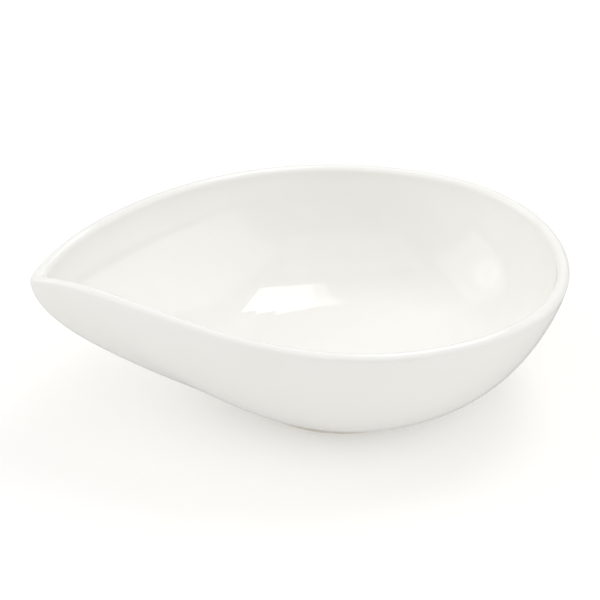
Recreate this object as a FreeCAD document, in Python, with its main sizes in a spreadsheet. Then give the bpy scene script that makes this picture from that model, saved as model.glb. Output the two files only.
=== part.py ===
"""Small glazed porcelain dish: a teardrop bowl on a round foot, its rim drawn out to a pouring lip.

The dish is one fired casting under two separate coats of glaze. Millimetres, +Z up, the foot
standing on z = 0, the pouring lip towards -X and the middle of the overall length over x = 0.

The free-form surface is a stack of closed rings. Each ring is a function of an angle that is
0 at the lip, and the stack runs up the outside wall, over the lip and down to the floor.
"""
import FreeCAD
import Part
import Sketcher

import math
import os

DIMENSIONS = {
    # plan outline of the rim
    "overall_length": 120.0,
    "half_width": 44.0,
    "lip_sharpness": 0.78,
    "lip_softness": 0.12,
    "flank_fullness": 0.055,
    "flank_sway": 0.045,
    "rim_thickness": 2.75,
    "lip_thickness": 3.6,
    # height of the rim along the length
    "rim_height": 32.3,
    "rim_rise": 4.5,
    "rim_curl": 2.8,
    "rim_flick": 1.0,
    "lip_droop": 6.2,
    "droop_power": 13.5,
    # outside wall, from the foot to the rim
    "outside_bowl_roundness": 1.237,
    "outside_bowl_spread": 0.429,
    "outside_spout_roundness": 1.785,
    "outside_spout_spread": 0.848,
    "outside_blend": 1.8,
    "waist_depth": 0.055,
    "waist_angle": 37.9,
    "waist_breadth": 11.2,
    # inside wall, from the flat of the floor to the rim
    "floor_height": 6.2,
    "floor_flat_radius": 8.0,
    "inside_bowl_roundness": 1.3,
    "inside_bowl_spread": 0.235,
    "inside_spout_roundness": 1.5,
    "inside_spout_spread": 0.445,
    "inside_blend": 2.0,
    # foot ring
    "foot_offset": 9.25,
    "foot_radius": 23.0,
    "foot_height": 2.4,
    "foot_edge_round": 0.5,
    "land_inner_radius": 19.5,
    "recess_depth": 2.6,
    "recess_draft": 0.6,
    # fired glass coat
    "glaze_thickness": 0.3,
    "dry_foot_height": 1.0,
}

RING_POINTS = 64
WALL_RINGS = 13
LIP_RINGS = 9
SKIN_BANDS = 4


def fill_sheet(document):
    """Put every driving dimension in the spreadsheet as plain text with an alias."""
    sheet = document.addObject("Spreadsheet::Sheet", "dimensions")
    for row, (alias, value) in enumerate(DIMENSIONS.items(), start=1):
        sheet.set(f"A{row}", alias)
        sheet.set(f"B{row}", str(value))
        sheet.setAlias(f"B{row}", alias)
    document.recompute()
    return sheet


def drop_outline(size, angle, nose_x, tail_x, half_width):
    """Point of a teardrop outline with its nose at nose_x and its round end at tail_x."""
    def spread(turn):
        nose = math.sin(turn / 2) ** 2 + size.lip_softness ** 2
        fullness = 1 - size.flank_fullness * math.cos(2 * turn) - size.flank_sway * math.cos(3 * turn)
        return math.sin(turn) * nose ** (size.lip_sharpness / 2) * fullness

    widest = max(spread(math.radians(degree)) for degree in range(60, 150))
    x = (nose_x + tail_x) / 2 - (tail_x - nose_x) / 2 * math.cos(angle)
    return x, half_width * spread(angle) / widest


def rim_height(size, angle):
    """Height of the middle of the lip: it climbs from the round end and droops at the nose."""
    along = math.cos(angle)
    climb = size.rim_rise * along + size.rim_curl * along ** 2 + size.rim_flick * along ** 3
    droop = size.lip_droop * ((1 + along) / 2) ** size.droop_power
    return size.rim_height + climb - droop


def outer_rim(size, angle):
    """Outer edge of the rim in plan."""
    half_length = size.overall_length / 2
    return drop_outline(size, angle, -half_length, half_length, size.half_width)


def inner_rim(size, angle):
    """Inner edge of the rim in plan."""
    half_length = size.overall_length / 2
    nose_x = -half_length + size.lip_thickness
    tail_x = half_length - size.rim_thickness
    return drop_outline(size, angle, nose_x, tail_x, size.half_width - size.rim_thickness)


def angles():
    """The angles of one ring's points, starting and ending at the round end."""
    return [2 * math.pi * index / RING_POINTS - math.pi for index in range(RING_POINTS)]


def round_ring(size, radius, height):
    """Ring that is a circle about the foot's axis."""
    return [FreeCAD.Vector(size.foot_offset - radius * math.cos(angle), radius * math.sin(angle), height)
            for angle in angles()]


def waist(size, angle):
    """Extra spread that draws the outside wall in on both sides, where the spout leaves the bowl."""
    from_nose = abs(math.remainder(angle, 2 * math.pi))
    offset = (from_nose - math.radians(size.waist_angle)) / math.radians(size.waist_breadth)
    return size.waist_depth * math.exp(-offset ** 2)


def no_waist(size, angle):
    """The inside wall isn't drawn in."""
    return 0.0


def wall_share(rise, angle, bowl, spout, blend, drawn_in):
    """How far out a wall stands at a share of its rise; bowl and spout are (roundness, spread)."""
    toward_nose = ((1 + math.cos(angle)) / 2) ** blend
    roundness = bowl[0] + (spout[0] - bowl[0]) * toward_nose
    spread = bowl[1] + (spout[1] - bowl[1]) * toward_nose + drawn_in
    return (1 - (1 - rise) ** roundness) ** spread


def wall_ring(size, rise, base, rim, bowl, spout, blend, drawn_in):
    """Ring of a wall that spreads from a round base ring to the rim, at a share of its rise."""
    ring = []
    for angle, foot in zip(angles(), base):
        share = wall_share(rise, angle, bowl, spout, blend, drawn_in(size, angle))
        rim_x, rim_y = rim(size, angle)
        top = FreeCAD.Vector(rim_x, rim_y, 0)
        flat = foot + (top - foot) * share
        ring.append(FreeCAD.Vector(flat.x, flat.y, foot.z + rise * (rim_height(size, angle) - foot.z)))
    return ring


def wall_rises():
    """Shares of a wall's rise where its rings lie, close together at both ends."""
    return [((1 - math.cos(math.pi * step / WALL_RINGS)) / 2) ** 1.6 for step in range(1, WALL_RINGS)]


def outside_rings(size):
    """Rings of the outside wall, upwards."""
    base = round_ring(size, size.foot_radius, size.foot_height)
    bowl = (size.outside_bowl_roundness, size.outside_bowl_spread)
    spout = (size.outside_spout_roundness, size.outside_spout_spread)
    return [wall_ring(size, rise, base, outer_rim, bowl, spout, size.outside_blend, waist)
            for rise in wall_rises()]


def inside_rings(size):
    """Rings of the inside wall, downwards, with the edge of the floor's flat last."""
    base = round_ring(size, size.floor_flat_radius, size.floor_height)
    bowl = (size.inside_bowl_roundness, size.inside_bowl_spread)
    spout = (size.inside_spout_roundness, size.inside_spout_spread)
    rings = [wall_ring(size, rise, base, inner_rim, bowl, spout, size.inside_blend, no_waist)
             for rise in reversed(wall_rises())]
    return rings + [base]


def lip_ring(size, turn):
    """Ring of the rounded lip, from its outer side (turn 0) to its inner side (turn pi)."""
    ring = []
    for angle in angles():
        outer_x, outer_y = outer_rim(size, angle)
        inner_x, inner_y = inner_rim(size, angle)
        outward = (1 + math.cos(turn)) / 2
        z = rim_height(size, angle) + size.rim_thickness / 2 * math.sin(turn)
        ring.append(FreeCAD.Vector(inner_x + outward * (outer_x - inner_x),
                                   inner_y + outward * (outer_y - inner_y), z))
    return ring


def glazed_rings(size):
    """Rings of the glazed surface, from its dry edge on the foot to the flat of the floor."""
    foot_neck = (size.dry_foot_height + size.foot_height) / 2
    rings = [round_ring(size, size.foot_radius, height) for height in (size.dry_foot_height, foot_neck)]
    rings += outside_rings(size)
    rings += [lip_ring(size, math.pi * step / (LIP_RINGS - 1)) for step in range(LIP_RINGS)]
    return rings + inside_rings(size)


def inset(rings, depth):
    """The same rings moved square to the surface, into the material, by a depth."""
    moved = []
    for index, ring in enumerate(rings):
        before = rings[max(index - 1, 0)]
        after = rings[min(index + 1, len(rings) - 1)]
        around = [ring[(point + 1) % RING_POINTS] - ring[point - 1] for point in range(RING_POINTS)]
        along = [end - start for start, end in zip(before, after)]
        normals = [one.cross(other).normalize() for one, other in zip(along, around)]
        moved.append([point - normal * depth for point, normal in zip(ring, normals)])
    return moved


def level_ring(ring, height):
    """The ring laid flat at a height."""
    return [FreeCAD.Vector(point.x, point.y, height) for point in ring]


def clay_rings(size):
    """Rings of the casting under the glaze, from the edge of its foot to the flat of its floor."""
    depth = size.glaze_thickness
    under_glaze = inset(glazed_rings(size), depth)
    under_glaze[0] = level_ring(under_glaze[0], size.dry_foot_height)
    under_glaze[-1] = level_ring(under_glaze[-1], size.floor_height - depth)
    radius = size.foot_radius - depth
    edge = [round_ring(size, radius - size.foot_edge_round * (1 - math.sin(turn)),
                      size.foot_edge_round * (1 - math.cos(turn)))
            for turn in (0.0, math.pi / 6, math.pi / 3, math.pi / 2)]
    return edge + under_glaze


def smooth_curve(points, stations, closed=False):
    """Smooth curve that passes through each point at its station."""
    curve = Part.BSplineCurve()
    curve.interpolate(Points=points, PeriodicFlag=closed, Parameters=stations)
    return curve


def stack_stations(rings):
    """Station of each ring along the stack: the mean distance travelled to reach it."""
    stations = [0.0]
    for ring, following in zip(rings, rings[1:]):
        gaps = [start.distanceToPoint(end) for start, end in zip(ring, following)]
        stations.append(stations[-1] + sum(gaps) / len(gaps))
    return stations


def skin_bands(rings):
    """Faces of one smooth surface through all rings, as bands that meet at a ring."""
    turns = [float(index) for index in range(RING_POINTS + 1)]
    rounds = [smooth_curve(ring, turns, closed=True) for ring in rings]
    stations = stack_stations(rings)
    rows = [curve.getPoles() for curve in rounds]
    columns = [smooth_curve(list(column), stations) for column in zip(*rows)]
    poles = [list(row) for row in zip(*[column.getPoles() for column in columns])]
    surface = Part.BSplineSurface()
    surface.buildFromPolesMultsKnots(poles, columns[0].getMultiplicities(), rounds[0].getMultiplicities(),
                                     columns[0].getKnots(), rounds[0].getKnots(), False, True,
                                     columns[0].Degree, rounds[0].Degree)
    limits = [stations[round(band * (len(rings) - 1) / SKIN_BANDS)] for band in range(SKIN_BANDS + 1)]
    faces = []
    for start, end in zip(limits, limits[1:]):
        band = surface.copy()
        band.segment(start, end, turns[0], turns[-1])
        faces.append(band.toShape())
    return faces


def end_cap(ring):
    """Flat face inside a level ring."""
    turns = [float(index) for index in range(RING_POINTS + 1)]
    return Part.Face(Part.Wire(smooth_curve(ring, turns, closed=True).toShape()))


def solid_through(rings):
    """Closed solid: a smooth skin through the rings, with a flat face inside the first and last."""
    shell = Part.Shell(skin_bands(rings) + [end_cap(rings[0]), end_cap(rings[-1])])
    shell.sewShape()
    return Part.Solid(shell)


def add_freeform(document, name, rings):
    """Document object holding the solid through some rings."""
    feature = document.addObject("Part::Feature", name)
    feature.Shape = solid_through(rings)
    feature.Placement = FreeCAD.Placement()
    return feature


def add_recess(document):
    """Shallow drafted hollow under the foot."""
    recess = document.addObject("Part::Cone", "foot_recess")
    recess.setExpression("Radius1", "dimensions.land_inner_radius")
    recess.setExpression("Radius2", "dimensions.land_inner_radius - dimensions.recess_draft")
    recess.setExpression("Height", "dimensions.recess_depth")
    recess.setExpression("Placement.Base.x", "dimensions.foot_offset")
    return recess


def add_cut(document, label, base, tool):
    """One body cut from another, as a named sub-part."""
    cut = document.addObject("Part::Cut", label)
    cut.Base = base
    cut.Tool = tool
    cut.Label = label
    return cut


def origin_plane(body, role):
    """The body's own origin plane with a given role."""
    return next(plane for plane in body.Origin.OriginFeatures if plane.Role == role)


def draw_outline(sketch, corners):
    """Closed outline of straight lines, with its corners tied together."""
    count = len(corners)
    for index in range(count):
        start = FreeCAD.Vector(*corners[index], 0)
        end = FreeCAD.Vector(*corners[(index + 1) % count], 0)
        sketch.addGeometry(Part.LineSegment(start, end), False)
    for index in range(count):
        sketch.addConstraint(Sketcher.Constraint("Coincident", index, 2, (index + 1) % count, 1))


def drive(sketch, name, constraint, expression):
    """Add a named dimension to a sketch and bind it to the sheet."""
    sketch.renameConstraint(sketch.addConstraint(constraint), name)
    sketch.setExpression(f"Constraints.{name}", expression)


def add_base_glaze(document):
    """Thin glaze patch that fills the top of the recess, turned about the foot's axis."""
    body = document.addObject("PartDesign::Body", "base_glaze")
    body.Label = "base_glaze"
    profile = body.newObject("Sketcher::SketchObject", "base_glaze_profile")
    profile.AttachmentSupport = [(origin_plane(body, "XZ_Plane"), "")]
    profile.MapMode = "FlatFace"
    draw_outline(profile, [(0, 2.3), (19, 2.3), (18.5, 2.6), (0, 2.6)])
    bottom, top = 0, 2
    for line, point in ((bottom, 1), (top, 2)):
        profile.addConstraint(Sketcher.Constraint("Horizontal", line))
        profile.addConstraint(Sketcher.Constraint("PointOnObject", line, point, -2))
    top_radius = "dimensions.land_inner_radius - dimensions.recess_draft"
    depth = "dimensions.recess_depth"
    thickness = "dimensions.glaze_thickness"
    drive(profile, "height", Sketcher.Constraint("DistanceY", -1, 1, bottom, 1, 2.3), f"{depth} - {thickness}")
    drive(profile, "thickness", Sketcher.Constraint("DistanceY", bottom, 1, top, 2, 0.3), thickness)
    drive(profile, "top_radius", Sketcher.Constraint("DistanceX", top, 2, top, 1, 18.5), top_radius)
    drive(profile, "bottom_radius", Sketcher.Constraint("DistanceX", bottom, 1, bottom, 2, 19),
          f"{top_radius} + dimensions.recess_draft * {thickness} / {depth}")
    turned = body.newObject("PartDesign::Revolution", "base_glaze_turned")
    turned.Profile = profile
    turned.ReferenceAxis = (profile, ["V_Axis"])
    turned.Angle = 360
    body.setExpression("Placement.Base.x", "dimensions.foot_offset")
    return body


def check(document, sub_parts):
    """Stop if any object failed or any sub-part is not one sound solid."""
    for item in document.Objects:
        if "Invalid" in item.State or "Error" in item.State:
            raise RuntimeError(f"{item.Name} failed: {item.State}")
    for sub_part in sub_parts:
        shape = sub_part.Shape
        if shape.isNull() or not shape.isValid() or len(shape.Solids) != 1:
            raise RuntimeError(f"{sub_part.Label} is not one valid solid")
        box = shape.BoundBox
        print(f"{sub_part.Label}: {shape.Volume:.0f} mm3, x {box.XMin:.2f} {box.XMax:.2f}, "
              f"y {box.YMin:.2f} {box.YMax:.2f}, z {box.ZMin:.2f} {box.ZMax:.2f}")


def main():
    document = FreeCAD.newDocument("porcelain_dish")
    size = fill_sheet(document)
    glazed_form = add_freeform(document, "glazed_form", glazed_rings(size))
    clay_form = add_freeform(document, "clay_form", clay_rings(size))
    sub_parts = [add_cut(document, "porcelain_body", clay_form, add_recess(document)),
                 add_cut(document, "glaze_coat", glazed_form, clay_form),
                 add_base_glaze(document)]
    document.recompute()
    check(document, sub_parts)
    os.makedirs("parts", exist_ok=True)
    for sub_part in sub_parts:
        sub_part.Shape.exportStep(f"parts/{sub_part.Label}.step")


main()
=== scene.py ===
"""Looks of a small glazed porcelain dish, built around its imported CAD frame.

The dish is three pieces, each a stack of closed rings about the foot's axis: the fired body, the
glaze coat that wraps it from the foot over the rim to the floor, and the glaze patch under the base.
Angles run from the round end (-pi) by the pouring lip (0) back to the round end. All in metres.
"""

import math

import bpy
import numpy as np
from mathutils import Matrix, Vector


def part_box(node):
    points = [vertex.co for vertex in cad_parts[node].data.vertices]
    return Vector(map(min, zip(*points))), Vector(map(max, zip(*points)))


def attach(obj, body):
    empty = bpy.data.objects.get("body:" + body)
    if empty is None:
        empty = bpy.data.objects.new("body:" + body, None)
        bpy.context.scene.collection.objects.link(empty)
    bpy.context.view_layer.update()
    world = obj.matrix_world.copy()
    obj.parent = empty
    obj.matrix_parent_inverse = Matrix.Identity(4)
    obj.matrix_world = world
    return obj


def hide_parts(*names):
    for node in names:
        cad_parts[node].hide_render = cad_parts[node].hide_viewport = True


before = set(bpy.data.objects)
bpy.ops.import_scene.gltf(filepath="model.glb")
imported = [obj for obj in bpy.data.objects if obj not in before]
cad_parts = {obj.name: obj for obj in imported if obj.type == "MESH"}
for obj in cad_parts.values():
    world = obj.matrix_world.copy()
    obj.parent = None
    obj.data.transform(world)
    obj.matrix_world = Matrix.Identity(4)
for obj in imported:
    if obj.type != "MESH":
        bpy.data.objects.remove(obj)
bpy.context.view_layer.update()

MM = 0.001

# --- dish shape: overall sizes come from the frame, the rest repeats the design's own numbers
coat_low, coat_high = (np.array(corner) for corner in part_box("glaze_coat"))
body_low, body_high = (np.array(corner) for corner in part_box("porcelain_body"))
patch_low, patch_high = (np.array(corner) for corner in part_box("base_glaze"))
HALF_LENGTH = (coat_high[0] - coat_low[0]) / 2
HALF_WIDTH = (coat_high[1] - coat_low[1]) / 2
FOOT_X = (patch_low[0] + patch_high[0]) / 2
FOOT_Z = body_low[2]
RECESS_DEPTH = patch_high[2] - FOOT_Z
RECESS_TOP_RADIUS = (patch_high[0] - patch_low[0]) / 2

LIP_SHARPNESS = 0.78
LIP_SOFTNESS = 0.12
FLANK_FULLNESS = 0.055
FLANK_SWAY = 0.045
RIM_THICKNESS = 2.75 * MM
LIP_THICKNESS = 3.6 * MM
RIM_HEIGHT = 32.3 * MM
RIM_RISE = 4.5 * MM
RIM_CURL = 2.8 * MM
RIM_FLICK = 1.0 * MM
LIP_DROOP = 6.2 * MM
DROOP_POWER = 13.5
OUTSIDE_BOWL = (1.237, 0.429)
OUTSIDE_SPOUT = (1.785, 0.848)
OUTSIDE_BLEND = 1.8
WAIST_DEPTH = 0.055
WAIST_ANGLE = math.radians(37.9)
WAIST_BREADTH = math.radians(11.2)
INSIDE_BOWL = (1.3, 0.235)
INSIDE_SPOUT = (1.5, 0.445)
INSIDE_BLEND = 2.0
RISE_POWER = 1.6
WIDEST_BETWEEN = (math.radians(60), math.radians(150))
WIDEST_SAMPLES = 900
FLOOR_HEIGHT = 6.2 * MM
FLOOR_FLAT_RADIUS = 8.0 * MM
FOOT_RADIUS = 23.0 * MM
FOOT_HEIGHT = 2.4 * MM
FOOT_EDGE_ROUND = 0.5 * MM
LAND_INNER_RADIUS = 19.5 * MM
GLAZE = 0.3 * MM
DRY_FOOT = 1.0 * MM
PATCH_TOP_RINGS = (0.3, 0.7, 1.0)
PATCH_LOW_RINGS = (0.3, 0.6, 0.8, 0.9, 0.95, 0.98, 1.0)
CREEP_FROM = 0.93
CREEP_GAIN = 120

# --- thickness of the glaze, 0 to 1, as it is painted on the points
POOL_PLAIN = 0.45
POOL_FLOOR = 0.55
POOL_FLOOR_REACH = 9 * MM
POOL_FLOOR_WITHIN = 0.97
POOL_FOOT = 0.55
POOL_FOOT_REACH = 2.2 * MM
POOL_FOOT_BEYOND = 0.95
POOL_LIP = 0.35
POOL_LIP_FROM = 26 * MM
POOL_LIP_REACH = 12 * MM
POOL_PATCH = 0.9

# --- colours and surface relief
GLAZE_THIN = (0.930, 0.923, 0.896)
GLAZE_THICK = (0.921, 0.915, 0.880)
GLAZE_CLOUD = (0.900, 0.895, 0.850)
GLAZE_SPECK = (0.62, 0.56, 0.46)
BISQUE = (0.80, 0.755, 0.665)
BISQUE_PALE = (0.86, 0.825, 0.75)
BISQUE_MARK = (0.56, 0.53, 0.48)
WAVE_DEPTH = 0.05 * MM
PEEL_DEPTH = 0.0012 * MM
GRAIN_DEPTH = 0.03 * MM
GLAZE_ROUGHNESS = 0.035
GLAZE_SHEEN = (0.022, 0.05)
BISQUE_ROUGHNESS = 0.72
BISQUE_DRYNESS = (0.6, 0.9)
CLOUD_STRENGTH = 0.3
SPECK_SPACING = 95.0
SPECK_EDGE = (0.006, 0.016)
SPECK_STRENGTH = 0.18
MARK_EDGE = (0.56, 0.70)
MARK_STRENGTH = 0.55
# features per metre of each noise
WAVE_SCALE = 55.0
CLOUD_SCALE = 70.0
SHEEN_SCALE = 160.0
PATCH_SCALE = 180.0
MARK_SCALE = 420.0
PEEL_SCALE = 700.0
GRAIN_SCALE = 2600.0

# --- light; a strip of the key is x from, x to, depth in y, radiance
KEY_HEIGHT = 0.70
KEY_FRONT_Y = 0.05
KEY_STRIPS = ((0.43, 0.515, 0.36, 3.0), (0.34, 0.43, 0.42, 3.0), (0.22, 0.34, 0.50, 3.0),
              (0.17, 0.22, 0.55, 1.5))
KICKER_PLACE = (-0.81, 0.35, 0.50)
KICKER_TARGET = (0.047, 0.0146, 0.0146)
KICKER_WIDTHS = (0.16, 0.28, 0.40)
KICKER_RADIANCE = 1.0
FLOOR_COLOUR = (0.74, 0.733, 0.717)
FLOOR_GLOW = (0.285, 0.284, 0.282)
FLOOR_ROUGHNESS = 0.9
FLOOR_REACH = 1.1
FLOOR_GAP = 0.02 * MM
# strength of the surround below, at and above the horizon, and the sines of height between them
GROUND = 0.40
GROUND_FADE = (-0.12, -0.01)
HORIZON = 0.12
DOME_FADE = (0.03, 0.15)
DOME = 0.62
BACKDROP = 1.0
PANEL_SIZE = (1.4, 1.0)
PANELS = (("overhead", (0, 0.35, 1.0), 0.17), ("front_high", (0, -0.7, 1.0), 0.52),
          ("right", (1.2, -0.3, 0.6), 0.58), ("left", (-1.1, 0.30, 0.80), 0.82))

# --- camera
CAMERA_AZIMUTH = math.radians(-12)
CAMERA_ELEVATION = math.radians(31)
CAMERA_DISTANCE = 0.55
CAMERA_LENS = 147.0
AIM_HEIGHT = 0.018
AIM_UP = 0.00363
AIM_LEFT = 0.00028

# --- mesh density
AROUND = 288
WALL_RINGS = 13
LIP_RINGS = 9
FINE_STEPS = 4
FLAT_RINGS = 6
BEAD_STEPS = 9
FOOT_EDGE_STEPS = 7
LAND_STEPS = 6

angle = np.linspace(-math.pi, math.pi, AROUND, endpoint=False)


def drop_outline(nose_x, tail_x, half_width):
    """Teardrop outline in plan, as x and y of every angle."""
    def spread(turn):
        nose = np.sin(turn / 2) ** 2 + LIP_SOFTNESS ** 2
        fullness = 1 - FLANK_FULLNESS * np.cos(2 * turn) - FLANK_SWAY * np.cos(3 * turn)
        return np.sin(turn) * nose ** (LIP_SHARPNESS / 2) * fullness

    widest = spread(np.linspace(*WIDEST_BETWEEN, WIDEST_SAMPLES)).max()
    x = (nose_x + tail_x) / 2 - (tail_x - nose_x) / 2 * np.cos(angle)
    return np.stack([x, half_width * spread(angle) / widest], axis=1)


def rim_height():
    """Height of the middle of the lip at every angle."""
    along = np.cos(angle)
    droop = LIP_DROOP * ((1 + along) / 2) ** DROOP_POWER
    return FOOT_Z + RIM_HEIGHT + RIM_RISE * along + RIM_CURL * along ** 2 + RIM_FLICK * along ** 3 - droop


rim_z = rim_height()
waist = WAIST_DEPTH * np.exp(-((np.abs(angle) - WAIST_ANGLE) / WAIST_BREADTH) ** 2)
outer_rim = drop_outline(-HALF_LENGTH, HALF_LENGTH, HALF_WIDTH)
inner_rim = drop_outline(-HALF_LENGTH + LIP_THICKNESS, HALF_LENGTH - RIM_THICKNESS,
                         HALF_WIDTH - RIM_THICKNESS)


def ring(flat, z):
    """Ring from its plan points and its height or heights."""
    return np.column_stack([flat, np.broadcast_to(z, AROUND)])


def circle(radius, z):
    """Round ring about the foot's axis."""
    return ring(np.stack([FOOT_X - radius * np.cos(angle), radius * np.sin(angle)], axis=1), z)


def wall_ring(rise, base, rim, bowl, spout, blend, drawn_in):
    """Ring of a wall that spreads from a round base ring to the rim, at a share of its rise."""
    toward_nose = ((1 + np.cos(angle)) / 2) ** blend
    roundness = bowl[0] + (spout[0] - bowl[0]) * toward_nose
    spread = bowl[1] + (spout[1] - bowl[1]) * toward_nose + drawn_in
    share = ((1 - (1 - rise) ** roundness) ** spread)[:, None]
    flat = base[:, :2] + (rim - base[:, :2]) * share
    return ring(flat, base[:, 2] + rise * (rim_z - base[:, 2]))


def lip_ring(turn):
    """Ring of the rounded lip, from its outer side (turn 0) to its inner side (turn pi)."""
    outward = (1 + math.cos(turn)) / 2
    return ring(inner_rim + outward * (outer_rim - inner_rim), rim_z + RIM_THICKNESS / 2 * math.sin(turn))


def through(rings, steps=FINE_STEPS):
    """More rings on a smooth natural spline through the given ones, which it keeps."""
    rings = np.array(rings)
    gaps = np.linalg.norm(np.diff(rings, axis=0), axis=2).mean(axis=1)
    count = len(rings)
    system = np.eye(count)
    target = np.zeros_like(rings)
    slopes = np.diff(rings, axis=0) / gaps[:, None, None]
    for row in range(1, count - 1):
        system[row, row - 1:row + 2] = gaps[row - 1], 2 * (gaps[row - 1] + gaps[row]), gaps[row]
        target[row] = 6 * (slopes[row] - slopes[row - 1])
    bend = np.linalg.solve(system, target.reshape(count, -1)).reshape(rings.shape)
    fine = []
    for row in range(count - 1):
        for step in range(steps):
            b = step / steps
            a = 1 - b
            curve = (a ** 3 - a) * bend[row] + (b ** 3 - b) * bend[row + 1]
            fine.append(a * rings[row] + b * rings[row + 1] + curve * gaps[row] ** 2 / 6)
    return np.array(fine + [rings[-1]])


def glazed_rings():
    """The glazed surface, from its dry edge on the foot up the wall, over the lip and down to the flat."""
    rises = [((1 - math.cos(math.pi * step / WALL_RINGS)) / 2) ** RISE_POWER
             for step in range(1, WALL_RINGS)]
    foot = circle(FOOT_RADIUS, FOOT_Z + FOOT_HEIGHT)
    flat = circle(FLOOR_FLAT_RADIUS, FOOT_Z + FLOOR_HEIGHT)
    rings = [circle(FOOT_RADIUS, FOOT_Z + z) for z in (DRY_FOOT, (DRY_FOOT + FOOT_HEIGHT) / 2)]
    rings += [wall_ring(rise, foot, outer_rim, OUTSIDE_BOWL, OUTSIDE_SPOUT, OUTSIDE_BLEND, waist)
              for rise in rises]
    rings += [lip_ring(math.pi * step / (LIP_RINGS - 1)) for step in range(LIP_RINGS)]
    rings += [wall_ring(rise, flat, inner_rim, INSIDE_BOWL, INSIDE_SPOUT, INSIDE_BLEND, 0.0)
              for rise in reversed(rises)]
    return through(rings + [flat])


def normals(rings):
    """Outward direction of a ring stack at each of its points."""
    along = np.gradient(rings, axis=0)
    around = np.roll(rings, -1, axis=1) - np.roll(rings, 1, axis=1)
    square = np.cross(along, around)
    return square / np.linalg.norm(square, axis=2, keepdims=True)


def to_centre(edge, count=FLAT_RINGS):
    """Flat rings that shrink from an edge ring towards the foot's axis."""
    centre = np.array([FOOT_X, 0.0, edge[:, 2].mean()])
    return [centre + (edge - centre) * (1 - step / (count + 1)) for step in range(1, count + 1)]


def stacked(name, rings):
    """Closed mesh of a ring stack whose two ends are closed by a point on the foot's axis."""
    rings = np.array(rings)
    count = len(rings)
    poles = [[FOOT_X, 0.0, rings[end][:, 2].mean()] for end in (0, -1)]
    points = np.vstack([rings.reshape(-1, 3), poles])
    faces = []
    for row in range(count - 1):
        for column in range(AROUND):
            after = (column + 1) % AROUND
            faces.append((row * AROUND + column, row * AROUND + after,
                          (row + 1) * AROUND + after, (row + 1) * AROUND + column))
    last = (count - 1) * AROUND
    for column in range(AROUND):
        after = (column + 1) % AROUND
        faces.append((after, column, count * AROUND))
        faces.append((last + column, last + after, count * AROUND + 1))
    mesh = bpy.data.meshes.new(name)
    mesh.from_pydata(points.tolist(), [], faces)
    mesh.validate()
    mesh.polygons.foreach_set("use_smooth", [True] * len(mesh.polygons))
    piece = bpy.data.objects.new(name, mesh)
    bpy.context.collection.objects.link(piece)
    return piece


def edge_bead():
    """Rounded lower edge of the glaze coat, from its clay side round to its outer side."""
    radius = GLAZE / 2
    middle = FOOT_RADIUS - radius
    turns = np.linspace(0, math.pi, BEAD_STEPS)[1:-1]
    return [circle(middle - radius * math.cos(turn), FOOT_Z + DRY_FOOT + radius * (1 - math.sin(turn)))
            for turn in turns]


def paint(piece, name, values):
    """Store one number per point of a piece, for its material to read."""
    layer = piece.data.attributes.new(name, "FLOAT", "POINT")
    layer.data.foreach_set("value", values)


def pooling(piece):
    """How thick the glaze lies at each point: thin on the lip, thick on the floor and above the foot."""
    points = np.empty(len(piece.data.vertices) * 3)
    piece.data.vertices.foreach_get("co", points)
    points = points.reshape(-1, 3)
    height = points[:, 2] - FOOT_Z
    from_axis = np.hypot(points[:, 0] - FOOT_X, points[:, 1])
    inside_floor = (np.clip(1 - (height - FLOOR_HEIGHT) / POOL_FLOOR_REACH, 0, 1)
                    * (from_axis < FOOT_RADIUS * POOL_FLOOR_WITHIN))
    above_foot = (np.clip(1 - (height - DRY_FOOT) / POOL_FOOT_REACH, 0, 1) ** 2
                  * (from_axis > FOOT_RADIUS * POOL_FOOT_BEYOND))
    lip = np.clip((height - POOL_LIP_FROM) / POOL_LIP_REACH, 0, 1)
    thickness = POOL_PLAIN + POOL_FLOOR * inside_floor + POOL_FOOT * above_foot - POOL_LIP * lip
    paint(piece, "pooling", np.clip(thickness, 0, 1))


def build_glaze_coat():
    """Thin closed coat: the glazed surface and, a glaze thickness under it, the face on the clay."""
    top = glazed_rings()
    top[0, :, 2] = FOOT_Z + DRY_FOOT + GLAZE / 2
    under = top - normals(top) * GLAZE
    under[0, :, 2] = top[0, :, 2]
    under[-1, :, 2] = under[-1, :, 2].mean()
    top_flat = to_centre(top[-1])
    under_flat = to_centre(under[-1])
    coat = stacked("dish_glaze_coat", [*under_flat[::-1], *under[::-1], *edge_bead(), *top, *top_flat])
    pooling(coat)
    return coat


def build_body():
    """Fired clay body under the glaze, with its dry foot ring and the recess inside it."""
    top = glazed_rings()
    under = top - normals(top) * GLAZE
    outer_radius = FOOT_RADIUS - GLAZE
    quarter = np.linspace(0, math.pi / 2, FOOT_EDGE_STEPS)
    outer_edge = [circle(outer_radius - FOOT_EDGE_ROUND * (1 - math.sin(turn)),
                         FOOT_Z + FOOT_EDGE_ROUND * (1 - math.cos(turn))) for turn in quarter]
    inner_edge = [circle(LAND_INNER_RADIUS + FOOT_EDGE_ROUND * (1 - math.sin(turn)),
                         FOOT_Z + FOOT_EDGE_ROUND * (1 - math.cos(turn))) for turn in reversed(quarter)]
    land_radii = np.linspace(LAND_INNER_RADIUS + FOOT_EDGE_ROUND, outer_radius - FOOT_EDGE_ROUND,
                             LAND_STEPS)
    land = [circle(radius, FOOT_Z) for radius in land_radii[1:-1]]
    ceiling = circle(RECESS_TOP_RADIUS, FOOT_Z + RECESS_DEPTH)
    return stacked("dish_porcelain_body", [*to_centre(ceiling)[::-1], ceiling, *inner_edge, *land,
                                           *outer_edge, *under, *to_centre(under[-1])])


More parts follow.
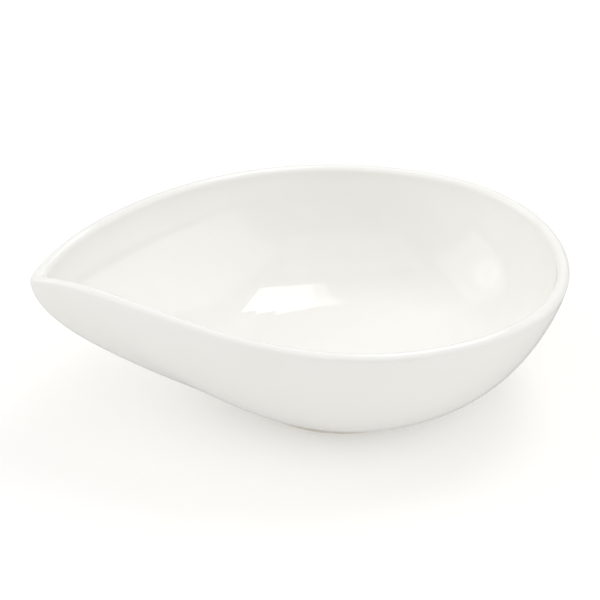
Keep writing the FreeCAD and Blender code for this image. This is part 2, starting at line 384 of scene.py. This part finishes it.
def build_base_glaze():
    """Glaze patch under the base, thicker where it creeps down the recess wall."""
    bottom = FOOT_Z + RECESS_DEPTH - GLAZE
    upper = [circle(RECESS_TOP_RADIUS * share, FOOT_Z + RECESS_DEPTH) for share in PATCH_TOP_RINGS]
    lower = [circle(RECESS_TOP_RADIUS * share,
                    bottom - GLAZE * max(0.0, share - CREEP_FROM) ** 2 * CREEP_GAIN)
             for share in PATCH_LOW_RINGS]
    return stacked("dish_base_glaze", [*upper, *lower[::-1]])


def simple_material(name, colour, roughness):
    """Material of one colour and roughness."""
    material = bpy.data.materials.new(name)
    material.use_nodes = True
    shader = material.node_tree.nodes["Principled BSDF"]
    shader.inputs["Base Color"].default_value = (*colour, 1)
    shader.inputs["Roughness"].default_value = roughness
    return material


def noise(nodes, links, coordinates, scale, detail=2.0):
    """Noise texture, 0 to 1; scale in features per metre."""
    texture = nodes.new("ShaderNodeTexNoise")
    texture.inputs["Scale"].default_value = scale
    texture.inputs["Detail"].default_value = detail
    links.new(coordinates, texture.inputs["Vector"])
    return texture.outputs["Fac"]


def bump(nodes, links, height, depth, below=None):
    """Bump of a height between 0 and 1 that stands for a depth in metres."""
    node = nodes.new("ShaderNodeBump")
    node.inputs["Strength"].default_value = 1.0
    node.inputs["Distance"].default_value = depth
    links.new(height, node.inputs["Height"])
    if below is not None:
        links.new(below, node.inputs["Normal"])
    return node.outputs["Normal"]


def blend(nodes, links, factor, first, second):
    """Colour mixed between two by a factor; each is a colour or another node's output."""
    node = nodes.new("ShaderNodeMix")
    node.data_type = "RGBA"
    links.new(factor, node.inputs["Factor"])
    # inputs 6 and 7 and output 2 are this node's colour sockets
    for socket, colour in ((node.inputs[6], first), (node.inputs[7], second)):
        if isinstance(colour, tuple):
            socket.default_value = (*colour, 1)
        else:
            links.new(colour, socket)
    return node.outputs[2]


def stretch(nodes, links, value, low, high, to_low=0.0, to_high=1.0):
    """Value remapped smoothly from one range to another, and held there."""
    node = nodes.new("ShaderNodeMapRange")
    node.interpolation_type = "SMOOTHSTEP"
    for socket, number in (("From Min", low), ("From Max", high), ("To Min", to_low), ("To Max", to_high)):
        node.inputs[socket].default_value = number
    links.new(value, node.inputs["Value"])
    return node.outputs["Result"]


def glaze_look():
    """Glossy clear glaze over white clay: slow waves, faint orange peel, and colour where it pools."""
    material = simple_material("glaze", GLAZE_THICK, GLAZE_ROUGHNESS)
    nodes, links = material.node_tree.nodes, material.node_tree.links
    shader = nodes["Principled BSDF"]
    place = nodes.new("ShaderNodeTexCoord").outputs["Object"]
    thickness = nodes.new("ShaderNodeAttribute")
    thickness.attribute_name = "pooling"
    depth = blend(nodes, links, thickness.outputs["Fac"], GLAZE_THIN, GLAZE_THICK)
    clouds = noise(nodes, links, place, CLOUD_SCALE, 4.0)
    cloud = stretch(nodes, links, clouds, 0.35, 0.65, 0.0, CLOUD_STRENGTH)
    clouded = blend(nodes, links, cloud, depth, GLAZE_CLOUD)
    grains = nodes.new("ShaderNodeTexVoronoi")
    grains.inputs["Scale"].default_value = SPECK_SPACING
    links.new(place, grains.inputs["Vector"])
    speck = stretch(nodes, links, grains.outputs["Distance"], *SPECK_EDGE, SPECK_STRENGTH, 0.0)
    links.new(blend(nodes, links, speck, clouded, GLAZE_SPECK), shader.inputs["Base Color"])
    sheen = noise(nodes, links, place, SHEEN_SCALE, 3.0)
    links.new(stretch(nodes, links, sheen, 0.3, 0.7, *GLAZE_SHEEN), shader.inputs["Roughness"])
    waves = bump(nodes, links, noise(nodes, links, place, WAVE_SCALE, 1.0), WAVE_DEPTH)
    peel = bump(nodes, links, noise(nodes, links, place, PEEL_SCALE), PEEL_DEPTH, waves)
    links.new(peel, shader.inputs["Normal"])
    return material


def bisque_look():
    """Dry fired clay: fine grain, paler and darker patches, and grey marks from standing on a table."""
    material = simple_material("bisque", BISQUE, BISQUE_ROUGHNESS)
    nodes, links = material.node_tree.nodes, material.node_tree.links
    shader = nodes["Principled BSDF"]
    place = nodes.new("ShaderNodeTexCoord").outputs["Object"]
    patches = stretch(nodes, links, noise(nodes, links, place, PATCH_SCALE, 5.0), 0.35, 0.65)
    smudges = noise(nodes, links, place, MARK_SCALE, 6.0)
    marks = stretch(nodes, links, smudges, *MARK_EDGE, 0.0, MARK_STRENGTH)
    patched = blend(nodes, links, patches, BISQUE, BISQUE_PALE)
    links.new(blend(nodes, links, marks, patched, BISQUE_MARK), shader.inputs["Base Color"])
    grain = noise(nodes, links, place, GRAIN_SCALE, 4.0)
    links.new(stretch(nodes, links, grain, 0.3, 0.7, *BISQUE_DRYNESS), shader.inputs["Roughness"])
    links.new(bump(nodes, links, grain, GRAIN_DEPTH), shader.inputs["Normal"])
    return material


glaze_coat = build_glaze_coat()
body = build_body()
base_glaze = build_base_glaze()
paint(base_glaze, "pooling", np.full(len(base_glaze.data.vertices), POOL_PATCH))
glaze_material = glaze_look()
bisque_material = bisque_look()
for piece, node, slot, material in ((glaze_coat, "glaze_coat", "clear_glaze", glaze_material),
                                    (body, "porcelain_body", "bisque_porcelain", bisque_material),
                                    (base_glaze, "base_glaze", "clear_glaze", glaze_material)):
    piece.data.materials.append(material)
    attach(piece, "root")
    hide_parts(node)


def build_floor():
    """Plain pale floor, which glows a little so that it is white, and which the glaze doesn't mirror."""
    mesh = bpy.data.meshes.new("floor")
    z = FOOT_Z - FLOOR_GAP
    corners = [(side_x * FLOOR_REACH, side_y * FLOOR_REACH, z)
               for side_x, side_y in ((-1, -1), (1, -1), (1, 1), (-1, 1))]
    mesh.from_pydata(corners, [], [(0, 1, 2, 3)])
    floor = bpy.data.objects.new("floor", mesh)
    bpy.context.collection.objects.link(floor)
    surface = simple_material("floor", FLOOR_COLOUR, FLOOR_ROUGHNESS)
    shader = surface.node_tree.nodes["Principled BSDF"]
    shader.inputs["Specular IOR Level"].default_value = 0.0
    shader.inputs["Emission Color"].default_value = (*FLOOR_GLOW, 1)
    shader.inputs["Emission Strength"].default_value = 1.0
    floor.data.materials.append(surface)
    floor.visible_glossy = False


def aim_at(lamp, location, target):
    """Place a lamp and turn it to face a point."""
    lamp.location = location
    lamp.rotation_euler = (Vector(target) - Vector(location)).to_track_quat("-Z", "Y").to_euler()
    bpy.context.collection.objects.link(lamp)


def softbox(name, location, target, size, radiance, shape="RECTANGLE"):
    """Soft area light that faces a point; a mirror shows it with the given radiance, 1 being white."""
    data = bpy.data.lights.new(name, "AREA")
    data.shape = shape
    data.size = size[0]
    data.size_y = size[-1]
    area = size[0] * size[-1] * (math.pi / 4 if shape == "DISK" else 1)
    data.energy = math.pi * area * radiance
    aim_at(bpy.data.objects.new(name, data), location, target)


def build_lights():
    """Window-like softbox at the back right, a small one at the back left, and large faint panels."""
    for step, (near, far, depth, radiance) in enumerate(KEY_STRIPS):
        place = ((near + far) / 2, KEY_FRONT_Y + depth / 2, KEY_HEIGHT)
        softbox("key_" + str(step), place, (place[0], place[1], 0), (far - near, depth), radiance)
    for step, width in enumerate(KICKER_WIDTHS):
        softbox("kicker_" + str(step), KICKER_PLACE, KICKER_TARGET, (width, width), KICKER_RADIANCE, "DISK")
    for name, location, radiance in PANELS:
        softbox(name, location, (0, 0, 0), PANEL_SIZE, radiance)


def build_world():
    """Soft surround, darker near the horizon as a studio is; the camera sees it plain and pale."""
    world = bpy.data.worlds.new("studio")
    world.use_nodes = True
    nodes, links = world.node_tree.nodes, world.node_tree.links
    background = nodes["Background"]
    direction = nodes.new("ShaderNodeTexCoord")
    axes = nodes.new("ShaderNodeSeparateXYZ")
    total = nodes.new("ShaderNodeMath")
    path = nodes.new("ShaderNodeLightPath")
    seen = nodes.new("ShaderNodeMix")
    seen.inputs["B"].default_value = BACKDROP
    links.new(direction.outputs["Generated"], axes.inputs["Vector"])
    above = stretch(nodes, links, axes.outputs["Z"], *DOME_FADE, HORIZON, DOME)
    below = stretch(nodes, links, axes.outputs["Z"], *GROUND_FADE, GROUND, 0.0)
    links.new(above, total.inputs[0])
    links.new(below, total.inputs[1])
    links.new(path.outputs["Is Camera Ray"], seen.inputs["Factor"])
    links.new(total.outputs["Value"], seen.inputs["A"])
    links.new(seen.outputs["Result"], background.inputs["Strength"])
    background.inputs["Color"].default_value = (1, 1, 1, 1)
    bpy.context.scene.world = world


def build_camera():
    """Camera at the photograph's angle."""
    level = math.cos(CAMERA_ELEVATION)
    back = Vector((math.sin(CAMERA_AZIMUTH) * level, -math.cos(CAMERA_AZIMUTH) * level,
                   math.sin(CAMERA_ELEVATION)))
    right = Vector((math.cos(CAMERA_AZIMUTH), math.sin(CAMERA_AZIMUTH), 0))
    up = back.cross(right)
    aim = Vector((0, 0, AIM_HEIGHT)) + up * AIM_UP - right * AIM_LEFT
    data = bpy.data.cameras.new("camera")
    data.lens = CAMERA_LENS
    camera = bpy.data.objects.new("camera", data)
    camera.location = aim + back * CAMERA_DISTANCE
    camera.rotation_euler = (-back).to_track_quat("-Z", "Y").to_euler()
    bpy.context.collection.objects.link(camera)
    bpy.context.scene.camera = camera


build_floor()
build_camera()
build_lights()
build_world()
bpy.context.scene.view_settings.view_transform = "Standard"
